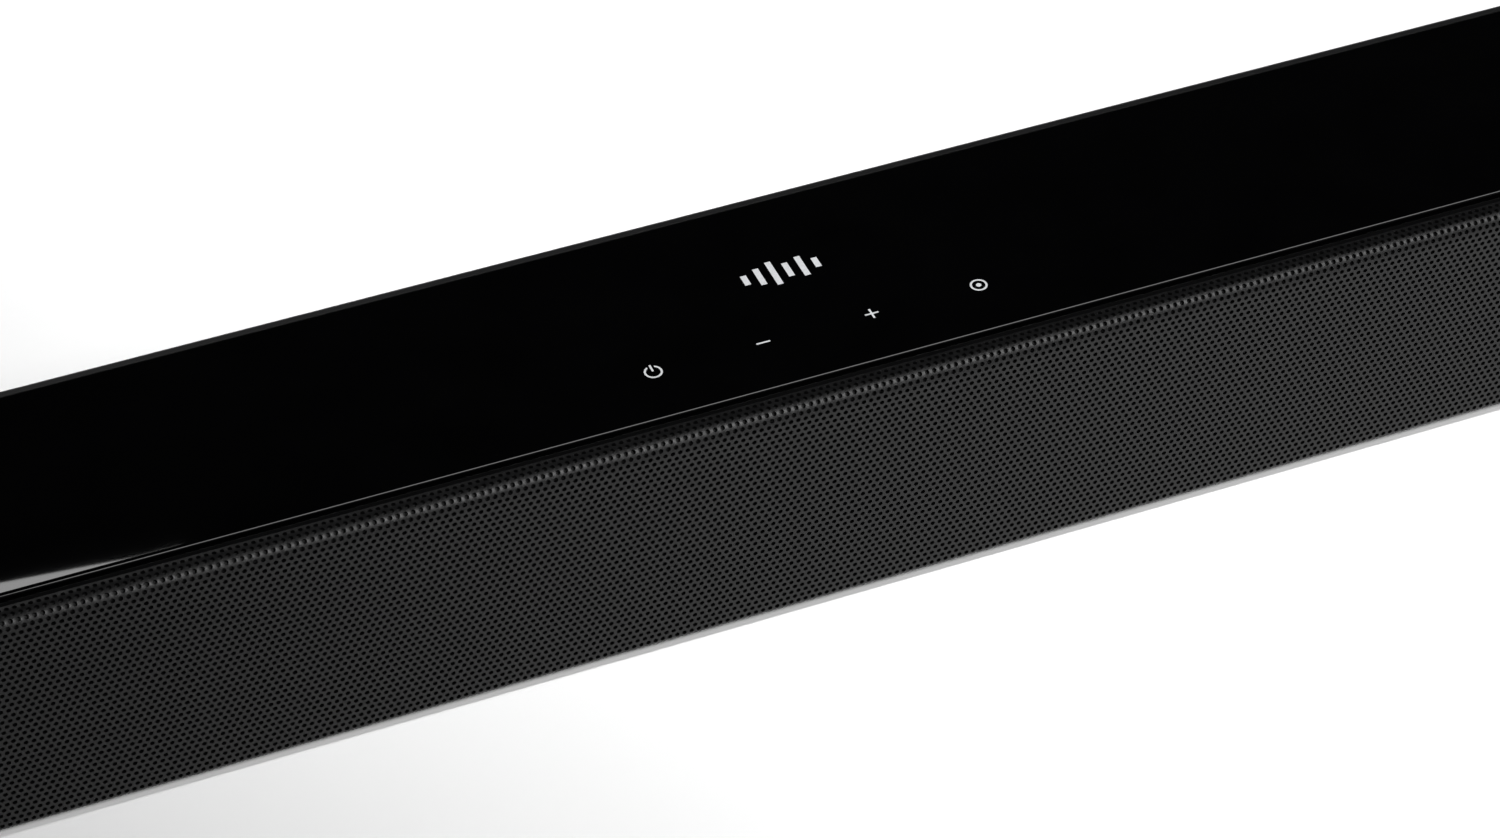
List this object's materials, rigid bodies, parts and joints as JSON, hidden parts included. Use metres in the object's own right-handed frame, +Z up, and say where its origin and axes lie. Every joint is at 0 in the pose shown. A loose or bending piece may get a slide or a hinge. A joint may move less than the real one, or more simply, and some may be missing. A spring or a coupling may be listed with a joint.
{
  "type": "soundbar",
  "caption": "Slim glossy-topped soundbar with a wrapped perforated front grille, touch marks, racetrack woofers, tweeters, rear ports and recessed connector bays.",
  "frame": {"origin": "centre of the footprint, on the surface that the feet rest on", "axes": "+X along the bar to the right seen from the front, -Y out of the front grille, +Z up"},
  "size_m": [0.95, 0.076, 0.0635],
  "materials": {
    "gloss_panel": "polished black acrylic",
    "shell_plastic": "fine matte grain, black",
    "grille_steel": "satin black powder coat, perforated",
    "scrim_cloth": "open-weave black acoustic cloth",
    "frame_plastic": "matte black",
    "baffle_plastic": "matte black",
    "mark_print": "printed light grey",
    "foot_rubber": "soft matte rubber",
    "basket_steel": "black painted pressed steel",
    "ferrite": "dull sintered ferrite",
    "yoke_steel": "zinc plated steel",
    "coil_copper": "enamelled copper winding",
    "spider_cloth": "resin-dipped corrugated cloth",
    "cone_paper": "black coated paper",
    "dust_cap_plastic": "satin black",
    "surround_rubber": "smooth butyl rubber",
    "tweeter_plastic": "satin black",
    "dome_silk": "coated silk",
    "port_plastic": "satin black",
    "wadding_fibre": "loose white polyester fibre",
    "circuit_board": "green solder mask",
    "chip_plastic": "moulded epoxy",
    "sink_aluminium": "extruded",
    "transformer_core": "varnished ferrite with yellow tape",
    "capacitor_sleeve": "shrunk sleeve",
    "insulation_film": "clear polyester film",
    "socket_plate": "black powder coat",
    "socket_metal": "tinned steel shell",
    "socket_plastic": "black",
    "insert_brass": "knurled brass",
    "black_screw": "black oxide",
    "zinc_screw": "zinc plated",
    "lead_sleeve": "red vinyl sleeve"
  },
  "bodies": {
    "cabinet": {"bottom_shell": "shell_plastic", "rear_panel": "shell_plastic", "top_shell": "shell_plastic", "top_panel": "gloss_panel", "touch_icons": "mark_print", "emblem": "mark_print", "front_grille": "grille_steel", "grille_scrim": "scrim_cloth", "grille_frame": "frame_plastic", "left_end_cap": "shell_plastic", "right_end_cap": "shell_plastic", "feet": "foot_rubber", "front_baffle": "baffle_plastic", "left_woofer_basket": "basket_steel", "left_woofer_magnet": "ferrite", "left_woofer_yoke": "yoke_steel", "left_woofer_spider": "spider_cloth", "left_woofer_surround": "surround_rubber", "right_woofer_basket": "basket_steel", "right_woofer_magnet": "ferrite", "right_woofer_yoke": "yoke_steel", "right_woofer_spider": "spider_cloth", "right_woofer_surround": "surround_rubber", "left_tweeter_body": "tweeter_plastic", "left_tweeter_surround": "surround_rubber", "right_tweeter_body": "tweeter_plastic", "right_tweeter_surround": "surround_rubber", "left_port": "port_plastic", "right_port": "port_plastic", "bulkheads": "baffle_plastic", "wadding": "wadding_fibre", "main_board": "circuit_board", "board_chips": "chip_plastic", "heat_sink": "sink_aluminium", "power_board": "circuit_board", "transformer": "transformer_core", "capacitors": "capacitor_sleeve", "insulation_sheet": "insulation_film", "touch_board": "circuit_board", "ir_board": "circuit_board", "io_plate": "socket_plate", "hdmi_socket": "socket_metal", "optical_socket": "socket_plastic", "aux_socket": "socket_plastic", "mains_inlet": "socket_plastic", "left_speaker_lead": "lead_sleeve", "right_speaker_lead": "lead_sleeve", "wall_inserts": "insert_brass", "rear_screws": "black_screw", "driver_screws": "black_screw", "board_screws": "zinc_screw"},
    "left_woofer_moving": {"left_woofer_cone": "cone_paper", "left_woofer_dust_cap": "dust_cap_plastic", "left_woofer_coil": "coil_copper"},
    "left_tweeter_moving": {"left_tweeter_dome": "dome_silk"},
    "right_woofer_moving": {"right_woofer_cone": "cone_paper", "right_woofer_dust_cap": "dust_cap_plastic", "right_woofer_coil": "coil_copper"},
    "right_tweeter_moving": {"right_tweeter_dome": "dome_silk"}
  },
  "joints": [
    {"name": "left_woofer_travel", "type": "slide", "parent": "cabinet", "child": "left_woofer_moving", "axis": [0, -1, 0], "range_m": [-0.002, 0.002], "stiffness_N_per_m": 1500, "deforming": ["left_woofer_surround", "left_woofer_spider"]},
    {"name": "left_tweeter_travel", "type": "slide", "parent": "cabinet", "child": "left_tweeter_moving", "axis": [0, -1, 0], "range_m": [-0.0003, 0.0003], "stiffness_N_per_m": 600, "deforming": ["left_tweeter_surround"]},
    {"name": "right_woofer_travel", "type": "slide", "parent": "cabinet", "child": "right_woofer_moving", "axis": [0, -1, 0], "range_m": [-0.002, 0.002], "stiffness_N_per_m": 1500, "deforming": ["right_woofer_surround", "right_woofer_spider"]},
    {"name": "right_tweeter_travel", "type": "slide", "parent": "cabinet", "child": "right_tweeter_moving", "axis": [0, -1, 0], "range_m": [-0.0003, 0.0003], "stiffness_N_per_m": 600, "deforming": ["right_tweeter_surround"]}
  ]
}
